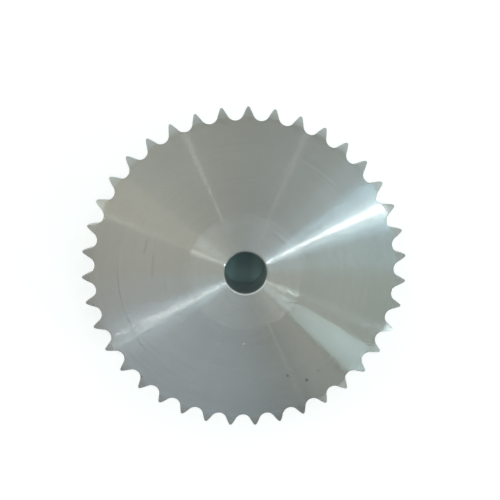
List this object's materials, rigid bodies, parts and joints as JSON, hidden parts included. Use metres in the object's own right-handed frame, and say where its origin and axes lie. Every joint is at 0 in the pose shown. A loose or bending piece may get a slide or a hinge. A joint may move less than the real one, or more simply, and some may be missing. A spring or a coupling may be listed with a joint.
{
  "type": "chain sprocket",
  "caption": "Roller-chain sprocket for a single-strand chain: a flat toothed steel plate with a round hub on one side and a plain bore.",
  "frame": {"origin": "on the bore's axis, at the hub's end face, where the part stands", "axes": "+Z along the bore's axis from the hub towards the plate's plain face; +X through the tip of one tooth"},
  "size_m": [0.2437, 0.2438, 0.04],
  "materials": {
    "turned_steel": "bare stainless steel, faced on a lathe, with fine rings round the bore"
  },
  "bodies": {
    "root": {"sprocket": "turned_steel"}
  },
  "joints": []
}
